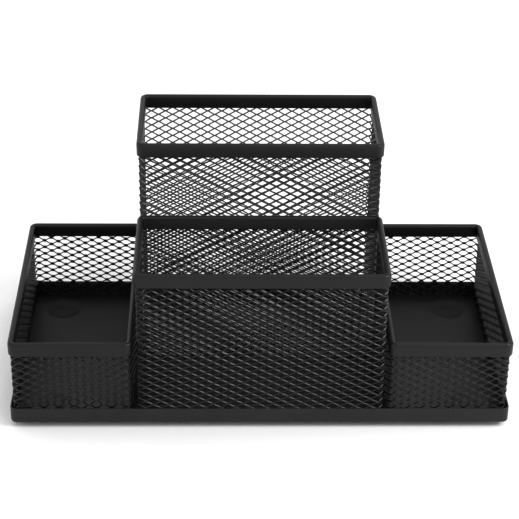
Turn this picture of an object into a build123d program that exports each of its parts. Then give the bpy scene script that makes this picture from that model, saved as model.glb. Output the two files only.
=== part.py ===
"""Desk organizer of black expanded-metal mesh.

Four open baskets stand on one pressed steel pan: a tall cup at the rear, a lower cup in front of
it, and a long shallow tray on each side. Each basket is a band of mesh with rounded upright
corners, and a folded U-shaped rim closes its top edge. The pan's flange holds the bands in from
outside, and four dimples pressed into its floor carry the foot pads.

Frame: millimetres, +Z up, front towards -Y, origin on the table under the middle of the organizer.
"""

import os

from build123d import *

# Overall sizes
organizer_width = 205.0  # over the outer sides of the two trays' rims
organizer_depth = 103.6  # over the rims, front to back
cup_width = 102.6  # over one cup's rim
cup_gap = 0.6  # between the two cups' rims
tray_gap = 0.8  # between a tray's rim and the cups' rims
tray_height = 38.0  # of a rim's top above the pan's underside
front_cup_height = 70.0
rear_cup_height = 102.0

# Mesh bands: each opening here stands for four of the real 6.1 x 3.4 mm mesh
mesh_thickness = 1.2  # crest to crest through the raised strands
mesh_corner_radius = 2.8  # of the band's outer face
opening_pitch_long = 12.2  # along a row of openings
opening_pitch_short = 6.8  # from a row to the second row above it
opening_length = 8.8
opening_height = 4.8
opening_border = 1.5  # least plain metal beside an opening at a wall's edge

# Rims: strip folded over the mesh
rim_sheet = 0.6
rim_height = 6.0
rim_round = 0.9  # of the fold's two upper edges

# Pan
pan_sheet = 0.7
pan_inner_bend = 0.3  # between floor and flange, and the room between flange and mesh
flange_height = 7.0  # above the pan's underside
dimple_radius = 9.0  # at its mouth; the wall slopes inwards at 45 degrees
dimple_depth = 1.0
dimple_inset_x = 15.0  # from the pan's outer side to a dimple's centre
dimple_inset_y = 14.3  # from its front or back to a dimple's centre

# Foot pads
pad_radius = 6.5
pad_thickness = 1.5

# Levels above the table
pan_underside = dimple_depth + pad_thickness
floor_top = pan_underside + pan_sheet

# The pan closes round the outermost mesh, which stands one rim sheet inside the rims
pan_inner_width = organizer_width - 2 * rim_sheet + 2 * pan_inner_bend
pan_inner_depth = organizer_depth - 2 * rim_sheet + 2 * pan_inner_bend
pan_width = pan_inner_width + 2 * pan_sheet
pan_depth = pan_inner_depth + 2 * pan_sheet

# Each basket's centre, size over its rim, and height above the pan's underside
tray_width = (organizer_width - cup_width) / 2 - tray_gap
cup_depth = (organizer_depth - cup_gap) / 2
tray_x = (organizer_width - tray_width) / 2
cup_y = (organizer_depth - cup_depth) / 2
baskets = {
    "left_tray": ((-tray_x, 0), (tray_width, organizer_depth), tray_height),
    "right_tray": ((tray_x, 0), (tray_width, organizer_depth), tray_height),
    "front_cup": ((0, -cup_y), (cup_width, cup_depth), front_cup_height),
    "rear_cup": ((0, cup_y), (cup_width, cup_depth), rear_cup_height),
}

# Each foot's centre
foot_x = pan_width / 2 - dimple_inset_x
foot_y = pan_depth / 2 - dimple_inset_y
feet = {
    "front_left": (-foot_x, -foot_y),
    "front_right": (foot_x, -foot_y),
    "rear_left": (-foot_x, foot_y),
    "rear_right": (foot_x, foot_y),
}

standing = (Align.CENTER, Align.CENTER, Align.MIN)


def ring(size, radius, thickness, height):
    """An upright band of rounded-rectangle plan, standing on Z = 0, with its outer face given."""
    outer = RectangleRounded(size[0], size[1], radius)
    inner = RectangleRounded(size[0] - 2 * thickness, size[1] - 2 * thickness, radius - thickness)
    return extrude(outer - inner, amount=height)


def openings_in(width, height):
    """Centres of the staggered openings that fit a flat sheet centred on X and standing on Y = 0."""
    reach_x = width / 2 - opening_length / 2 - opening_border
    reach_y = height / 2 - opening_height / 2 - opening_border
    step_x = opening_pitch_long / 2
    step_y = opening_pitch_short / 2
    columns = int(reach_x / step_x)
    rows = int(reach_y / step_y)
    return [
        (column * step_x, height / 2 + row * step_y)
        for row in range(-rows, rows + 1)
        for column in range(-columns, columns + 1)
        if (row + column) % 2 == 0
    ]


def diamond(x, y):
    """The outline of one opening."""
    half_length = opening_length / 2
    half_height = opening_height / 2
    corners = [(x - half_length, y), (x, y - half_height), (x + half_length, y), (x, y + half_height)]
    return Wire.make_polygon(corners, close=True)


def flat_mesh(width, height):
    """A flat sheet of mesh in the XY plane, centred on X and standing on Y = 0, thick along +Z."""
    edge = [(-width / 2, 0), (width / 2, 0), (width / 2, height), (-width / 2, height)]
    holes = [diamond(x, y) for x, y in openings_in(width, height)]
    return extrude(Face(Wire.make_polygon(edge, close=True), holes), amount=mesh_thickness)


def mesh_corner(turn, height):
    """A quarter of the band's rounded corner, about its centre, turned from the +X, +Y quarter."""
    band = Circle(mesh_corner_radius) - Circle(mesh_corner_radius - mesh_thickness)
    quarter = Rectangle(mesh_corner_radius, mesh_corner_radius, align=Align.MIN)
    return Rot(0, 0, turn) * extrude(band & quarter, amount=height)


def stand_up(sheet, turn, reach):
    """A flat sheet stood on end as the front wall, its outer face at reach, then turned about Z."""
    return Rot(0, 0, turn) * Pos(0, mesh_thickness - reach, 0) * Rot(90, 0, 0) * sheet


def mesh_walls(centre, size, height):
    """The four walls of one basket's band. Front and back walls carry the rounded corners."""
    half_x = size[0] / 2 - rim_sheet
    half_y = size[1] / 2 - rim_sheet
    corner_x = half_x - mesh_corner_radius
    corner_y = half_y - mesh_corner_radius
    wall_height = height - rim_sheet - pan_sheet
    cross_sheet = flat_mesh(2 * corner_x, wall_height)
    side_sheet = flat_mesh(2 * corner_y, wall_height)
    base = Pos(centre[0], centre[1], floor_top)

    front = stand_up(cross_sheet, 0, half_y)
    front += Pos(-corner_x, -corner_y, 0) * mesh_corner(180, wall_height)
    front += Pos(corner_x, -corner_y, 0) * mesh_corner(270, wall_height)
    back = stand_up(cross_sheet, 180, half_y)
    back += Pos(corner_x, corner_y, 0) * mesh_corner(0, wall_height)
    back += Pos(-corner_x, corner_y, 0) * mesh_corner(90, wall_height)
    return {
        "front": base * front,
        "back": base * back,
        "left": base * stand_up(side_sheet, 270, half_x),
        "right": base * stand_up(side_sheet, 90, half_x),
    }


def rim(centre, size, height):
    """The folded strip over one basket's top edge: rounded above, with a slot for the mesh below."""
    fold_width = mesh_thickness + 2 * rim_sheet
    fold = ring(size, mesh_corner_radius + rim_sheet, fold_width, rim_height)
    fold = fillet(fold.edges().group_by(Axis.Z)[-1], rim_round)
    mesh_size = (size[0] - 2 * rim_sheet, size[1] - 2 * rim_sheet)
    slot = ring(mesh_size, mesh_corner_radius, mesh_thickness, rim_height - rim_sheet)
    return Pos(centre[0], centre[1], pan_underside + height - rim_height) * (fold - slot)


def base_pan():
    """The floor plate with its upturned flange and the four dimples pressed downwards."""
    inner_radius = mesh_corner_radius + pan_inner_bend
    plate = RectangleRounded(pan_width, pan_depth, inner_radius + pan_sheet)
    outside = extrude(plate, amount=flange_height)
    outside = fillet(outside.edges().group_by(Axis.Z)[0], pan_inner_bend + pan_sheet)
    room = RectangleRounded(pan_inner_width, pan_inner_depth, inner_radius)
    inside = extrude(room, amount=flange_height)
    inside = fillet(inside.edges().group_by(Axis.Z)[0], pan_inner_bend)
    pan = outside - Pos(0, 0, pan_sheet) * inside
    pressing = Cone(dimple_radius - dimple_depth, dimple_radius, dimple_depth, align=standing)
    for x, y in feet.values():
        pan += Pos(x, y, -dimple_depth) * pressing
        pan -= Pos(x, y, pan_sheet - dimple_depth) * pressing
    return Pos(0, 0, pan_underside) * pan


def foot_pad(place):
    """A foam disc stuck under one dimple."""
    return Pos(place[0], place[1], 0) * Cylinder(pad_radius, pad_thickness, align=standing)


def save(name, shape):
    export_step(shape, f"parts/{name}.step", write_pcurves=False)


os.makedirs("parts", exist_ok=True)
save("base_pan", base_pan())
for foot, place in feet.items():
    save(f"foot_pad_{foot}", foot_pad(place))
for basket, (centre, size, height) in baskets.items():
    save(f"{basket}_rim", rim(centre, size, height))
    for wall, shape in mesh_walls(centre, size, height).items():
        save(f"{basket}_mesh_{wall}", shape)
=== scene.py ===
import math

import bmesh
import bpy
from mathutils import Matrix, Vector


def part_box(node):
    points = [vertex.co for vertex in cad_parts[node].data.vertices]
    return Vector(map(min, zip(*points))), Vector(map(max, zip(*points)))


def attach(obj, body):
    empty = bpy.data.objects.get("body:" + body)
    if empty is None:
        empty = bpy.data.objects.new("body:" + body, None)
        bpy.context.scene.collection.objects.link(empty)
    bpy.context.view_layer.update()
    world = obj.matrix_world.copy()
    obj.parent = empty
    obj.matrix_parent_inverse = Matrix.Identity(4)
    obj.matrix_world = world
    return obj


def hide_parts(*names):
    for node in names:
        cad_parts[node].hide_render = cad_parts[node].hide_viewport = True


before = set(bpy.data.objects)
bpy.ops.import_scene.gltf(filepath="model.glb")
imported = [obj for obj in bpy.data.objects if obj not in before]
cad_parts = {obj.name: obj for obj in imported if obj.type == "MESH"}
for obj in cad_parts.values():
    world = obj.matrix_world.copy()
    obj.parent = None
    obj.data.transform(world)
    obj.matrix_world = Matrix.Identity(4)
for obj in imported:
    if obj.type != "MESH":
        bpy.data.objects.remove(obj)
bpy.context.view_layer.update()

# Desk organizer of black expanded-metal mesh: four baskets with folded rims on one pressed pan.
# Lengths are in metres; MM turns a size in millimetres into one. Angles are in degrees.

MM = 0.001

BASKETS = ("left_tray", "right_tray", "front_cup", "rear_cup")
WALLS = ("front", "back", "left", "right")
FEET = ("front_left", "front_right", "rear_left", "rear_right")

# Expanded mesh, as it leaves the slitting press
LONG_PITCH = 6.1 * MM  # from bond to bond along a row
ROW_STEP = 1.7 * MM  # from one row of strands to the next, half the short pitch
# For each basket, with the coat: a strand's width and thickness, a bond's length, how far a bond's
# and then a strand's broad face leans from the wall, outer edge low, and the share of a strand's
# run over which it eases from the one lean to the other at each end
STRANDS = {"left_tray": (0.60 * MM, 0.46 * MM, 1.4 * MM, 0, 64, 0.07),
           "right_tray": (0.52 * MM, 0.44 * MM, 1.3 * MM, 8, 66, 0.07),
           "front_cup": (0.48 * MM, 0.50 * MM, 0.6 * MM, 40, 40, 0.18),
           "rear_cup": (0.46 * MM, 0.52 * MM, 0.5 * MM, 48, 48, 0.18)}
MESH_WALL = 1.2 * MM  # thickness of the CAD walls, with the middle of the mesh halfway
MESH_CORNER = 1.8 * MM  # plan radius at the middle of the mesh
MESH_IN_RIM = 2.5 * MM  # how far the mesh reaches up into the fold
# Pairs of rows that the lattice climbs in a turn, and the share of a turn from the basket's rear
# left corner to where it starts
CLIMB = {"left_tray": 6, "right_tray": 3, "front_cup": 1, "rear_cup": 0}
PHASE = {"left_tray": 0.0, "right_tray": 0.0, "front_cup": 0.0, "rear_cup": 0.0052}
SPARE_BELOW, SPARE_ABOVE = 2, 3  # pairs of rows past the climb, trimmed off afterwards
UNEVENNESS = 0.16 * MM  # how far the pulled sheet strays from a true lattice
WAVE_LENGTH = 24 * MM
FIRST_SEED = 3.0  # of the left tray's unevenness; each next basket's is one more
HEADING_REACH = 0.25 * MM  # each side of a point, where the direction of the path is taken
WELD = 0.01 * MM  # points nearer than this are one
SLIVER = 0.002 * MM  # edges shorter than this go, after the trim

# Folded rims
RIM_WIDTH = 2.4 * MM  # over both legs
RIM_CORNER = 2.0 * MM  # plan radius at the middle of the fold
RIM_SHEET = 0.6 * MM  # each leg ends in a full round of this width
RIM_PINCH = 0.06 * MM  # how far each leg leans in at its lower edge
RIM_SPACING = 8 * MM  # between lines of points along a straight

# Pan
PAN_CORNER = 2.6 * MM  # outer plan radius
PAN_DEPTH = 7.0 * MM  # from the top of the flange to the underside of the floor
PAN_SHEET = 0.7 * MM
PAN_BEND = 1.0 * MM  # outer radius where the flange turns up
PAN_LIP = 0.22 * MM  # rounding of the flange's sheared top edge
PAN_SPACING = 12 * MM  # between lines of points along a straight
DIMPLE_RADIUS = 9.0 * MM
DIMPLE_DEPTH = 1.0 * MM
DIMPLE_SLOPE = 5.0 * MM  # width of the soft slope round a pressing

# Foot pads
PAD_EDGE = 0.3 * MM

# Steps round each kind of curve
CORNER_STEPS = 12
BEND_STEPS = 6
LIP_STEPS = 4
FOLD_STEPS = 16
UNDER_FOLD_STEPS = 10
LEG_END_STEPS = 6
SLOPE_STEPS = 8
ROUND_STEPS = 64
EASE = 0.5 * MM  # from a bend to the next line of points, so that flat faces shade flat

# Faces that meet at more than this angle share a sharp edge
MESH_CREASE = 30
SHEET_CREASE = 40
RIM_CREASE = 60

# Camera: a long lens, looking down from the front and a touch from the left
CAMERA_PLACE = (-17.7 * MM, -647.3 * MM, 417.3 * MM)
CAMERA_PITCH = 29.52
CAMERA_YAW = -1.577
CAMERA_ROLL = 0.857
CAMERA_LENS = 121.2  # and the sensor's width, both in millimetres as a camera takes them
CAMERA_SENSOR = 36.0
NEAREST, FARTHEST = 0.05, 20.0  # what the camera takes in

FLOOR_CORNERS = ((-3, -3), (3, -3), (3, 4), (-3, 4))


# ------------------------------------------------------------------ small helpers

def add(tree, kind, links=None, **settings):
    """Adds a node to a tree with its settings. An input takes a value or another node's socket."""
    node = tree.nodes.new(kind)
    for name, value in settings.items():
        setattr(node, name, value)
    for key, value in (links or {}).items():
        if isinstance(value, bpy.types.NodeSocket):
            tree.links.new(value, node.inputs[key])
        else:
            node.inputs[key].default_value = value
    return node


def linear(hex_colour):
    """An sRGB hex colour as linear RGBA."""
    channels = [int(hex_colour[i:i + 2], 16) / 255 for i in (1, 3, 5)]
    curved = [c / 12.92 if c <= 0.04045 else ((c + 0.055) / 1.055) ** 2.4 for c in channels]
    return (*curved, 1.0)


def placed(name, data):
    """A new object at the origin, in the scene."""
    made = bpy.data.objects.new(name, data)
    bpy.context.scene.collection.objects.link(made)
    return made


def closed_line(name, points):
    """A closed curve object, straight between the points."""
    data = bpy.data.curves.new(name, "CURVE")
    data.dimensions = "3D"
    spline = data.splines.new("POLY")
    spline.points.add(len(points) - 1)
    for target, point in zip(spline.points, points):
        target.co = (point[0], point[1], 0.0, 1.0)
    spline.use_cyclic_u = True
    return placed(name, data)


def arc(radius, start, end, steps, centre=(0.0, 0.0)):
    """Points of an arc from one angle to another."""
    angles = [math.radians(start + (end - start) * step / steps) for step in range(steps + 1)]
    return [(centre[0] + radius * math.cos(a), centre[1] + radius * math.sin(a)) for a in angles]


def rounded_plan(half_x, half_y, radius, spacing=0.0):
    """Points of a rectangle with rounded corners about the origin, anticlockwise from its rear
    left corner. Each straight starts and ends with a short piece, and with a spacing it is divided
    evenly between them."""
    points = []
    for sign_x, sign_y, start in ((-1, 1, 90), (-1, -1, 180), (1, -1, 270), (1, 1, 0)):
        centre = Vector((sign_x * (half_x - radius), sign_y * (half_y - radius)))
        for step in range(CORNER_STEPS + 1):
            angle = math.radians(start + 90 * step / CORNER_STEPS)
            points.append(centre + radius * Vector((math.cos(angle), math.sin(angle))))
        half_side = half_y if sign_x == -sign_y else half_x
        straight = 2 * half_side - 2 * radius
        heading = math.radians(start + 180)
        along = Vector((math.cos(heading), math.sin(heading)))
        pieces = max(1, round((straight - 2 * EASE) / spacing)) if spacing else 1
        last = points[-1]
        for piece in range(pieces + 1):
            points.append(last + along * (EASE + (straight - 2 * EASE) * piece / pieces))
    return points


def tidy_shading(bm, crease):
    """Smooth faces, with a sharp edge wherever two faces meet at more than the crease angle."""
    for face in bm.faces:
        face.smooth = True
    for edge in bm.edges:
        edge.smooth = edge.calc_face_angle(0.0) < math.radians(crease)


def finish_mesh(bm, name, start=None):
    """The mesh of this bmesh, new or written back over the mesh that it started from."""
    mesh = start or bpy.data.meshes.new(name)
    bm.to_mesh(mesh)
    bm.free()
    mesh.name = name
    return mesh


def basket_box(basket):
    """Lowest and highest corner of a basket's four mesh walls."""
    boxes = [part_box(f"{basket}_mesh_{wall}") for wall in WALLS]
    lo = Vector(min(box[0][i] for box in boxes) for i in range(3))
    hi = Vector(max(box[1][i] for box in boxes) for i in range(3))
    return lo, hi


# ------------------------------------------------------------------ materials

DRIFT_SIZE = 15 * MM  # of the coat's slow drifts in tone and gloss
THIN, THICK = 0.35, 0.65  # the drift's noise where the coat is at its thinnest and its thickest
SMOOTHER, ROUGHER = 0.03, 0.04  # how far the roughness drifts each way


def new_material(name):
    """A new node material, its empty tree, and the place on the piece that its patterns follow."""
    material = bpy.data.materials.new(name)
    material.use_nodes = True
    tree = material.node_tree
    tree.nodes.clear()
    return material, tree, add(tree, "ShaderNodeTexCoord").outputs["Object"]


def powder_coat(name, thin_tone, thick_tone, roughness, peel_size, peel_depth):
    """Semi-matt black polyester powder, baked on steel. It gives an even charcoal film with a soft
    sheen, a fine orange peel where the powder flowed, and slow drifts in tone and gloss with its
    thickness."""
    material, tree, place = new_material(name)
    film = add(tree, "ShaderNodeTexNoise",
               {"Vector": place, "Scale": 1 / DRIFT_SIZE, "Detail": 3.0, "Roughness": 0.55})
    tone = add(tree, "ShaderNodeValToRGB", {"Fac": film.outputs["Fac"]})
    stops = zip(tone.color_ramp.elements, (THIN, THICK), (thin_tone, thick_tone))
    for stop, position, colour in stops:
        stop.position = position
        stop.color = linear(colour)
    gloss = add(tree, "ShaderNodeMapRange",
                {"Value": film.outputs["Fac"], "From Min": THIN, "From Max": THICK,
                 "To Min": roughness - SMOOTHER, "To Max": roughness + ROUGHER})
    peel = add(tree, "ShaderNodeTexNoise",
               {"Vector": place, "Scale": 1 / peel_size, "Detail": 2.0, "Roughness": 0.5})
    bump = add(tree, "ShaderNodeBump",
               {"Height": peel.outputs["Fac"], "Strength": 1.0, "Distance": peel_depth})
    coat = add(tree, "ShaderNodeBsdfPrincipled",
               {"Base Color": tone.outputs["Color"], "Roughness": gloss.outputs["Result"],
                "Normal": bump.outputs["Normal"], "Metallic": 0.0, "IOR": 1.5})
    add(tree, "ShaderNodeOutputMaterial", {"Surface": coat.outputs["BSDF"]})
    return material


def eva_foam():
    """Black EVA foam, die-cut from sheet: dull, with the open pores of the cut cells. Real pores
    are about 0.2 mm; they are drawn at 0.5 mm so that they show."""
    material, tree, place = new_material("black_eva_foam")
    pores = add(tree, "ShaderNodeTexVoronoi", {"Vector": place, "Scale": 1 / (0.5 * MM)})
    # Painted shade: each pore is darker towards its hollow middle and lighter on the raised walls
    # between pores, following the bump
    tone = add(tree, "ShaderNodeValToRGB", {"Fac": pores.outputs["Distance"]})
    for stop, colour in zip(tone.color_ramp.elements, ("#0E0E0F", "#222223")):
        stop.color = linear(colour)
    bump = add(tree, "ShaderNodeBump",
               {"Height": pores.outputs["Distance"], "Strength": 1.0, "Distance": 0.06 * MM})
    foam = add(tree, "ShaderNodeBsdfPrincipled",
               {"Base Color": tone.outputs["Color"], "Roughness": 0.93,
                "Normal": bump.outputs["Normal"], "IOR": 1.49})
    add(tree, "ShaderNodeOutputMaterial", {"Surface": foam.outputs["BSDF"]})
    return material


RIM_COAT = powder_coat("powder_coat_on_folded_strip", "#131315", "#18181A", roughness=0.42,
                       peel_size=0.9 * MM, peel_depth=0.006 * MM)
PAN_COAT = powder_coat("powder_coat_on_pressed_sheet", "#1F1F21", "#242426", roughness=0.45,
                       peel_size=1.0 * MM, peel_depth=0.007 * MM)
MESH_COAT = powder_coat("powder_coat_on_expanded_mesh", "#19191B", "#1E1E20", roughness=0.32,
                        peel_size=0.7 * MM, peel_depth=0.004 * MM)
FOAM = eva_foam()


# ------------------------------------------------------------------ Geometry Nodes

def new_tree(name, sizes):
    """A Geometry Nodes tree with these named inputs, and its input node's outputs."""
    tree = bpy.data.node_groups.new(name, "GeometryNodeTree")
    for socket, kind in sizes.items():
        tree.interface.new_socket(socket, in_out="INPUT", socket_type="NodeSocket" + kind)
    tree.interface.new_socket("Geometry", in_out="OUTPUT", socket_type="NodeSocketGeometry")
    return tree, add(tree, "NodeGroupInput").outputs


def grown(name, tree, values):
    """The plain mesh that a tree makes from these values of its named inputs."""
    carrier = placed(name, bpy.data.meshes.new(name + "_start"))
    modifier = carrier.modifiers.new(name, "NODES")
    modifier.node_group = tree
    for item in tree.interface.items_tree:
        if item.in_out == "INPUT":
            modifier[item.identifier] = values[item.name]
    depsgraph = bpy.context.evaluated_depsgraph_get()
    mesh = bpy.data.meshes.new_from_object(carrier.evaluated_get(depsgraph), depsgraph=depsgraph)
    carrier.modifiers.remove(modifier)
    bpy.data.objects.remove(carrier)
    return mesh


def end_tree(tree, geometry, material):
    """Ends a tree with plain geometry of one material."""
    real = add(tree, "GeometryNodeRealizeInstances", {"Geometry": geometry})
    finished = add(tree, "GeometryNodeSetMaterial",
                   {"Geometry": real.outputs["Geometry"], "Material": material})
    add(tree, "NodeGroupOutput", {"Geometry": finished.outputs["Geometry"]})


def mesh_band_tree():
    """Expanded mesh led round a basket: cells on a flat grid, then every point bent round the path
    and moved by a slow, seeded unevenness. In the flat sheet x runs along the rows, y up the wall
    and z out of it."""
    tree, given = new_tree("expanded_mesh_band", {
        "Cell": "Object", "Path": "Object", "Long Pitch": "Float", "Row Step": "Float",
        "Columns": "Int", "Rows": "Int", "First Row": "Int", "Turn Climb": "Int",
        "Phase": "Float", "Centre": "Vector", "Unevenness": "Float", "Wave Length": "Float",
        "Seed": "Float", "Material": "Material"})

    def maths(operation, first, second=0.0):
        return add(tree, "ShaderNodeMath", {0: first, 1: second}, operation=operation).outputs[0]

    def vectors(operation, first, second):
        return add(tree, "ShaderNodeVectorMath", {0: first, 1: second},
                   operation=operation).outputs[0]

    def scaled(vector, factor):
        return add(tree, "ShaderNodeVectorMath", {0: vector, "Scale": factor},
                   operation="SCALE").outputs[0]

    # One point for each column and each pair of rows
    count = maths("MULTIPLY", given["Columns"], given["Rows"])
    points = add(tree, "GeometryNodePoints", {"Count": count})
    index = add(tree, "GeometryNodeInputIndex").outputs[0]
    column = maths("FLOORED_MODULO", index, given["Columns"])
    row = maths("FLOOR", maths("DIVIDE", index, given["Columns"]))
    pair_step = maths("MULTIPLY", given["Row Step"], 2.0)
    grid = add(tree, "ShaderNodeCombineXYZ",
               {"X": maths("MULTIPLY", column, given["Long Pitch"]),
                "Y": maths("MULTIPLY", maths("ADD", row, given["First Row"]), pair_step)})
    spread = add(tree, "GeometryNodeSetPosition",
                 {"Geometry": points.outputs[0], "Position": grid.outputs[0]})
    cell = add(tree, "GeometryNodeObjectInfo", {"Object": given["Cell"]})
    laid = add(tree, "GeometryNodeInstanceOnPoints",
               {"Points": spread.outputs[0], "Instance": cell.outputs["Geometry"]})
    sheet = add(tree, "GeometryNodeRealizeInstances", {"Geometry": laid.outputs[0]})

    # Bend round the path, stretched so that a whole number of cells goes once round
    path = add(tree, "GeometryNodeObjectInfo", {"Object": given["Path"]}).outputs["Geometry"]
    length = add(tree, "GeometryNodeCurveLength", {"Curve": path}).outputs[0]
    position = add(tree, "GeometryNodeInputPosition").outputs[0]
    flat = add(tree, "ShaderNodeSeparateXYZ", {0: position})
    sheet_length = maths("MULTIPLY", given["Columns"], given["Long Pitch"])
    turn = maths("DIVIDE", flat.outputs["X"], sheet_length)
    part_turn = maths("FLOORED_MODULO", maths("ADD", turn, given["Phase"]), 1.0)
    along = maths("MULTIPLY", part_turn, length)

    def on_path(distance):
        wrapped = maths("FLOORED_MODULO", distance, length)
        return add(tree, "GeometryNodeSampleCurve", {"Curves": path, "Length": wrapped},
                   mode="LENGTH").outputs["Position"]

    ahead = on_path(maths("ADD", along, HEADING_REACH))
    behind = on_path(maths("SUBTRACT", along, HEADING_REACH))
    heading = add(tree, "ShaderNodeVectorMath", {0: vectors("SUBTRACT", ahead, behind)},
                  operation="NORMALIZE").outputs[0]
    outward = vectors("CROSS_PRODUCT", heading, (0.0, 0.0, 1.0))
    proud = scaled(outward, flat.outputs["Z"])
    climb = maths("MULTIPLY", maths("MULTIPLY", turn, given["Turn Climb"]), pair_step)
    height = add(tree, "ShaderNodeCombineXYZ", {"Z": maths("ADD", flat.outputs["Y"], climb)})
    bent = vectors("ADD", vectors("ADD", on_path(along), proud), height.outputs[0])
    bent = vectors("ADD", bent, given["Centre"])

    # The slow unevenness of pulled sheet
    waves = add(tree, "ShaderNodeTexNoise",
                {"Vector": bent, "W": given["Seed"], "Detail": 1.0,
                 "Scale": maths("DIVIDE", 1.0, given["Wave Length"])}, noise_dimensions="4D")
    centred = vectors("SUBTRACT", waves.outputs["Color"], (0.5, 0.5, 0.5))
    stray = scaled(centred, given["Unevenness"])
    band = add(tree, "GeometryNodeSetPosition",
               {"Geometry": sheet.outputs[0], "Position": vectors("ADD", bent, stray)})
    welded = add(tree, "GeometryNodeMergeByDistance",
                 {"Geometry": band.outputs[0], "Distance": WELD})
    end_tree(tree, welded.outputs[0], given["Material"])
    return tree


def rim_tree():
    """A folded strip: its section led round the basket."""
    tree, given = new_tree("folded_rim", {
        "Path": "Object", "Section": "Object", "Centre": "Vector", "Material": "Material"})
    path = add(tree, "GeometryNodeObjectInfo", {"Object": given["Path"]})
    section = add(tree, "GeometryNodeObjectInfo", {"Object": given["Section"]})
    swept = add(tree, "GeometryNodeCurveToMesh",
                {"Curve": path.outputs["Geometry"], "Profile Curve": section.outputs["Geometry"]})
    strip = add(tree, "GeometryNodeSetPosition",
                {"Geometry": swept.outputs[0], "Offset": given["Centre"]})
    end_tree(tree, strip.outputs[0], given["Material"])
    return tree


# ------------------------------------------------------------------ expanded mesh

def broad_way(lean):
    """The way across a strand's broad face at this lean, in the flat sheet."""
    return Vector((0.0, math.cos(math.radians(lean)), -math.sin(math.radians(lean))))


def mesh_cell(width, thickness, bond_length, bond_lean, strand_lean, ease_share):
    """One long pitch of two neighbouring strands, flat. A strand is a tilted strip that is joined
    to the strand below at one end of its run and to the strand above at the other."""
    bond_way = broad_way(bond_lean)
    shift = Vector((0.0, ROW_STEP, 0.0)) - width * bond_way
    half_pitch = LONG_PITCH / 2
    half_bond = bond_length / 2
    run = half_pitch - bond_length
    easing = ease_share * run
    # Distance along the row, share of the way to the upper bond, and the strip's rise there
    stations = [(-half_bond, 0.0, 0),
                (half_bond, 0.0, 0),
                (half_bond + easing, ease_share, 1),
                (half_bond + run - easing, 1 - ease_share, 1),
                (half_pitch - half_bond, 1.0, 0),
                (half_pitch + half_bond, 1.0, 0),
                (half_pitch + half_bond + easing, 1 - ease_share, -1),
                (half_pitch + half_bond + run - easing, ease_share, -1),
                (LONG_PITCH - half_bond, 0.0, 0)]
    bm = bmesh.new()
    for strand in (0, 1):
        start = Vector((strand * half_pitch, strand * ROW_STEP, 0.0)) + width / 2 * bond_way
        sections = []
        for distance, share, rise in stations:
            middle = start + Vector((distance, 0.0, 0.0)) + share * shift
            travel = Vector((run, 0.0, 0.0)) + rise * shift
            width_way = broad_way(strand_lean) if rise else bond_way
            face_way = travel.cross(width_way).normalized()
            corners = [middle + side * width / 2 * width_way + face * thickness / 2 * face_way
                       for side, face in ((-1, -1), (1, -1), (1, 1), (-1, 1))]
            sections.append([bm.verts.new(corner) for corner in corners])
        for station, (here, there) in enumerate(zip(sections, sections[1:])):
            for side in range(4):
                joined_above = side == 1 and station == 4
                joined_below = side == 3 and station == 0
                if joined_above or joined_below:
                    continue
                after = (side + 1) % 4
                bm.faces.new((here[side], here[after], there[after], there[side]))
    cell = placed("expanded_mesh_cell", finish_mesh(bm, "expanded_mesh_cell"))
    cell.data.materials.append(MESH_COAT)
    return cell


def trimmed(mesh, name, low, high):
    """A mesh band cut off level at its foot and under its rim, with the cut strands closed."""
    bm = bmesh.new()
    bm.from_mesh(mesh)
    for level, way in ((low, -1.0), (high, 1.0)):
        everything = bm.verts[:] + bm.edges[:] + bm.faces[:]
        cut = bmesh.ops.bisect_plane(bm, geom=everything, plane_co=(0.0, 0.0, level),
                                     plane_no=(0.0, 0.0, way), clear_outer=True)
        open_edges = [e for e in cut["geom_cut"] if isinstance(e, bmesh.types.BMEdge)]
        bmesh.ops.holes_fill(bm, edges=open_edges, sides=0)
    bmesh.ops.dissolve_degenerate(bm, dist=SLIVER, edges=bm.edges[:])
    tidy_shading(bm, MESH_CREASE)
    return finish_mesh(bm, name, mesh)


def mesh_band(basket, tree, seed):
    """The mesh of one basket, one piece all round, from the pan up into the fold of its rim."""
    cell = mesh_cell(*STRANDS[basket])
    lo, hi = basket_box(basket)
    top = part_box(f"{basket}_rim")[0].z + MESH_IN_RIM
    half_x = (hi.x - lo.x - MESH_WALL) / 2
    half_y = (hi.y - lo.y - MESH_WALL) / 2
    middle = (lo + hi) / 2
    path = closed_line(f"{basket}_mesh_path", rounded_plan(half_x, half_y, MESH_CORNER))
    around = 4 * (half_x + half_y) - (8 - 2 * math.pi) * MESH_CORNER
    below = CLIMB[basket] + SPARE_BELOW
    rows = math.ceil((top - lo.z) / (2 * ROW_STEP)) + below + SPARE_ABOVE
    mesh = grown(f"{basket}_mesh_band", tree, {
        "Cell": cell, "Path": path, "Long Pitch": LONG_PITCH, "Row Step": ROW_STEP,
        "Columns": round(around / LONG_PITCH), "Rows": rows, "First Row": -below,
        "Turn Climb": CLIMB[basket], "Phase": PHASE[basket],
        "Centre": (middle.x, middle.y, lo.z), "Unevenness": UNEVENNESS,
        "Wave Length": WAVE_LENGTH, "Seed": seed, "Material": MESH_COAT})
    band = placed(f"{basket}_expanded_mesh", trimmed(mesh, f"{basket}_expanded_mesh", lo.z, top))
    bpy.data.objects.remove(path)
    bpy.data.objects.remove(cell)
    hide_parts(*[f"{basket}_mesh_{wall}" for wall in WALLS])
    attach(band, "root")


# ------------------------------------------------------------------ rims

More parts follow.
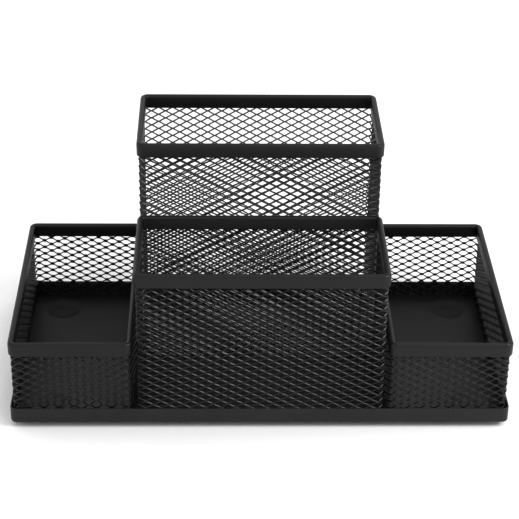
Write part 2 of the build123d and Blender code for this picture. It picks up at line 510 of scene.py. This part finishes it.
def rim_section(half_width, height):
    """Section of the folded strip, closed: x out of the basket, y down from the rim's top."""
    inner = half_width - RIM_SHEET
    bend = half_width  # the height of the fold, a half round
    over = arc(half_width, 180, 360, FOLD_STEPS, (0.0, bend))[1:-1]
    under = arc(inner, 0, -180, UNDER_FOLD_STEPS, (0.0, bend))[1:-1]
    end_centre = (half_width - RIM_PINCH - RIM_SHEET / 2, height - RIM_SHEET / 2)
    leg_end = arc(RIM_SHEET / 2, 0, 180, LEG_END_STEPS, end_centre)
    leg = [(half_width, bend), (half_width, bend + EASE), *leg_end,
           (inner, bend + EASE), (inner, bend)]
    mirrored_leg = [(-x, y) for x, y in reversed(leg)]
    return over + leg + under + mirrored_leg


def folded_rim(basket, tree):
    """One basket's rim, folded over the top of its mesh."""
    lo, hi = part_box(f"{basket}_rim")
    half_x = (hi.x - lo.x - RIM_WIDTH) / 2
    half_y = (hi.y - lo.y - RIM_WIDTH) / 2
    plan = rounded_plan(half_x, half_y, RIM_CORNER, RIM_SPACING)
    path = closed_line(f"{basket}_rim_path", plan)
    section = closed_line(f"{basket}_rim_section", rim_section(RIM_WIDTH / 2, hi.z - lo.z))
    middle = (lo + hi) / 2
    mesh = grown(f"{basket}_rim_strip", tree, {
        "Path": path, "Section": section, "Centre": (middle.x, middle.y, hi.z),
        "Material": RIM_COAT})
    bm = bmesh.new()
    bm.from_mesh(mesh)
    bmesh.ops.recalc_face_normals(bm, faces=bm.faces[:])
    tidy_shading(bm, RIM_CREASE)
    rim = placed(f"{basket}_folded_rim", finish_mesh(bm, f"{basket}_folded_rim", mesh))
    bpy.data.objects.remove(path)
    bpy.data.objects.remove(section)
    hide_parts(f"{basket}_rim")
    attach(rim, "root")


# ------------------------------------------------------------------ pan and pads

def ring(bm, points, z, centre=(0.0, 0.0)):
    """New points in a level ring."""
    return [bm.verts.new((x + centre[0], y + centre[1], z)) for x, y in points]


def circle(radius):
    """Points of a full circle."""
    return arc(radius, 0, 360, ROUND_STEPS)[:-1]


def bridge(bm, rings):
    """Faces between each ring of points and the next."""
    for here, there in zip(rings, rings[1:]):
        for i in range(len(here)):
            j = (i + 1) % len(here)
            bm.faces.new((here[i], here[j], there[j], there[i]))


def fan(bm, points, centre, z):
    """Closes a ring of points with triangles that meet at its centre."""
    hub = bm.verts.new((centre[0], centre[1], z))
    for here, there in zip(points, points[1:] + points[:1]):
        bm.faces.new((here, there, hub))


def edges_of(bm, points):
    """The edges round a ring of points, made where they are missing."""
    pairs = zip(points, points[1:] + points[:1])
    return [bm.edges.get(pair) or bm.edges.new(pair) for pair in pairs]


def closed_piece(bm, name, material):
    """A piece of one material, faces outward."""
    bmesh.ops.recalc_face_normals(bm, faces=bm.faces[:])
    tidy_shading(bm, SHEET_CREASE)
    piece = placed(name, finish_mesh(bm, name))
    piece.data.materials.append(material)
    return piece


def pressed_floor(bm, outline, z, centres):
    """Flat sheet inside an outline of points, with a soft round pressing at each centre."""
    edges = edges_of(bm, outline)
    for centre in centres:
        rings = [ring(bm, circle(DIMPLE_RADIUS + EASE), z, centre)]
        for step in range(SLOPE_STEPS + 1):
            share = step / SLOPE_STEPS
            soft = share * share * (3 - 2 * share)
            slope = circle(DIMPLE_RADIUS - share * DIMPLE_SLOPE)
            rings.append(ring(bm, slope, z - DIMPLE_DEPTH * soft, centre))
        flat_foot = circle(DIMPLE_RADIUS - DIMPLE_SLOPE - EASE)
        rings.append(ring(bm, flat_foot, z - DIMPLE_DEPTH, centre))
        bridge(bm, rings)
        edges += edges_of(bm, rings[0])
        fan(bm, rings[-1], centre, z - DIMPLE_DEPTH)
    bmesh.ops.triangle_fill(bm, use_beauty=True, edges=edges)


def base_pan():
    """The pan: a floor with four pressings and a low flange turned up all round, in one shell."""
    lo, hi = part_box("base_pan")
    underside = hi.z - PAN_DEPTH
    floor_top = underside + PAN_SHEET
    half_x, half_y = (hi.x - lo.x) / 2, (hi.y - lo.y) / 2
    bend = underside + PAN_BEND
    lip = hi.z - PAN_LIP
    lip_round = arc(PAN_LIP, 0, 90, LIP_STEPS)
    # Inset from the pan's outer face, and height, from the floor round the flange to the underside
    walk = [(PAN_BEND + EASE, floor_top)]
    walk += [(PAN_BEND - x, bend - y) for x, y in arc(PAN_BEND - PAN_SHEET, 90, 0, BEND_STEPS)]
    walk += [(PAN_SHEET, bend + EASE), (PAN_SHEET, lip - EASE)]
    walk += [(PAN_SHEET - PAN_LIP + x, lip + y) for x, y in lip_round]
    walk += [(PAN_LIP - x, lip + y) for x, y in reversed(lip_round)]
    walk += [(0.0, lip - EASE), (0.0, bend + EASE)]
    walk += [(PAN_BEND - x, bend - y) for x, y in arc(PAN_BEND, 0, 90, BEND_STEPS)]
    walk += [(PAN_BEND + EASE, underside)]
    bm = bmesh.new()
    rings = []
    for inset, z in walk:
        plan = rounded_plan(half_x - inset, half_y - inset, PAN_CORNER - inset, PAN_SPACING)
        rings.append(ring(bm, plan, z))
    bridge(bm, rings)
    centres = []
    for foot in FEET:
        pad_lo, pad_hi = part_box(f"foot_pad_{foot}")
        centres.append(((pad_lo.x + pad_hi.x) / 2, (pad_lo.y + pad_hi.y) / 2))
    pressed_floor(bm, rings[0], floor_top, centres)
    pressed_floor(bm, rings[-1], underside, centres)
    pan = closed_piece(bm, "pressed_pan", PAN_COAT)
    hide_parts("base_pan")
    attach(pan, "root")


def foot_pad(foot):
    """A die-cut foam disc under one pressing."""
    lo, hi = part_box(f"foot_pad_{foot}")
    centre = ((lo.x + hi.x) / 2, (lo.y + hi.y) / 2)
    inset = (hi.x - lo.x) / 2 - PAD_EDGE
    walk = [(inset - EASE, lo.z)]
    walk += [(inset + x, lo.z + PAD_EDGE + y) for x, y in arc(PAD_EDGE, -90, 0, LIP_STEPS)]
    walk += [(inset + x, hi.z - PAD_EDGE + y) for x, y in arc(PAD_EDGE, 0, 90, LIP_STEPS)]
    walk += [(inset - EASE, hi.z)]
    bm = bmesh.new()
    rings = [ring(bm, circle(radius), z, centre) for radius, z in walk]
    bridge(bm, rings)
    fan(bm, rings[0], centre, lo.z)
    fan(bm, rings[-1], centre, hi.z)
    pad = closed_piece(bm, f"foam_pad_{foot}", FOAM)
    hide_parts(f"foot_pad_{foot}")
    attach(pad, "root")


# ------------------------------------------------------------------ the organizer

band_tree = mesh_band_tree()
strip_tree = rim_tree()
for number, basket in enumerate(BASKETS):
    mesh_band(basket, band_tree, FIRST_SEED + number)
    folded_rim(basket, strip_tree)
base_pan()
for foot in FEET:
    foot_pad(foot)


# ------------------------------------------------------------------ room, light and camera

def studio_floor():
    """A wide pale floor, plain matt paper."""
    bm = bmesh.new()
    bm.faces.new([bm.verts.new((x, y, 0.0)) for x, y in FLOOR_CORNERS])
    floor = placed("studio_floor", finish_mesh(bm, "studio_floor"))
    material = bpy.data.materials.new("white_background_paper")
    material.use_nodes = True
    shader = material.node_tree.nodes["Principled BSDF"]
    shader.inputs["Base Color"].default_value = linear("#F6F6F6")
    shader.inputs["Roughness"].default_value = 0.9
    floor.data.materials.append(material)


def studio_world(strength):
    """An even white room round the organizer."""
    world = bpy.data.worlds.new("pale_studio")
    world.use_nodes = True
    shade = world.node_tree.nodes["Background"]
    shade.inputs["Color"].default_value = linear("#FFFFFF")
    shade.inputs["Strength"].default_value = strength
    bpy.context.scene.world = world


def soft_sun(name, azimuth, elevation, spread, strength):
    """A large far softbox: where it stands, seen from the organizer, and how wide it looks."""
    data = bpy.data.lights.new(name, "SUN")
    data.angle = math.radians(spread)
    data.energy = strength
    light = placed(name, data)
    turn, rise = math.radians(azimuth), math.radians(elevation)
    shine = Vector((-math.sin(turn) * math.cos(rise), math.cos(turn) * math.cos(rise),
                    -math.sin(rise)))
    light.rotation_euler = shine.to_track_quat("-Z", "Y").to_euler()


def soft_light(name, place, aim, side, power):
    """A square softbox at a place, turned to face a point."""
    data = bpy.data.lights.new(name, "AREA")
    data.shape = "SQUARE"
    data.size = side
    data.energy = power
    light = placed(name, data)
    light.location = place
    light.rotation_euler = (Vector(aim) - Vector(place)).to_track_quat("-Z", "Y").to_euler()


def product_camera():
    """The camera, at the place and the angles given at the top."""
    pitch, yaw, roll = (math.radians(a) for a in (CAMERA_PITCH, CAMERA_YAW, CAMERA_ROLL))
    forward = Vector((-math.sin(yaw) * math.cos(pitch), math.cos(yaw) * math.cos(pitch),
                      -math.sin(pitch)))
    level = forward.cross(Vector((0.0, 0.0, 1.0))).normalized()
    upright = level.cross(forward)
    right = level * math.cos(roll) + upright * math.sin(roll)
    up = upright * math.cos(roll) - level * math.sin(roll)
    data = bpy.data.cameras.new("product_camera")
    data.sensor_width = CAMERA_SENSOR
    data.lens = CAMERA_LENS
    data.clip_start = NEAREST
    data.clip_end = FARTHEST
    camera = placed("product_camera", data)
    turn = Matrix((right, up, -forward)).transposed().to_4x4()
    camera.matrix_world = Matrix.Translation(CAMERA_PLACE) @ turn
    bpy.context.scene.camera = camera


studio_floor()
studio_world(strength=1.08)
soft_sun("key_softbox", azimuth=35.0, elevation=60.0, spread=30.0, strength=0.3)
soft_light("side_softbox", place=(0.44, -0.25, 0.42), aim=(0.0, 0.0, 0.05), side=0.22, power=1.9)
product_camera()
bpy.context.scene.view_settings.view_transform = "Standard"
bpy.context.scene.view_settings.gamma = 0.77  # deep blacks on clean white
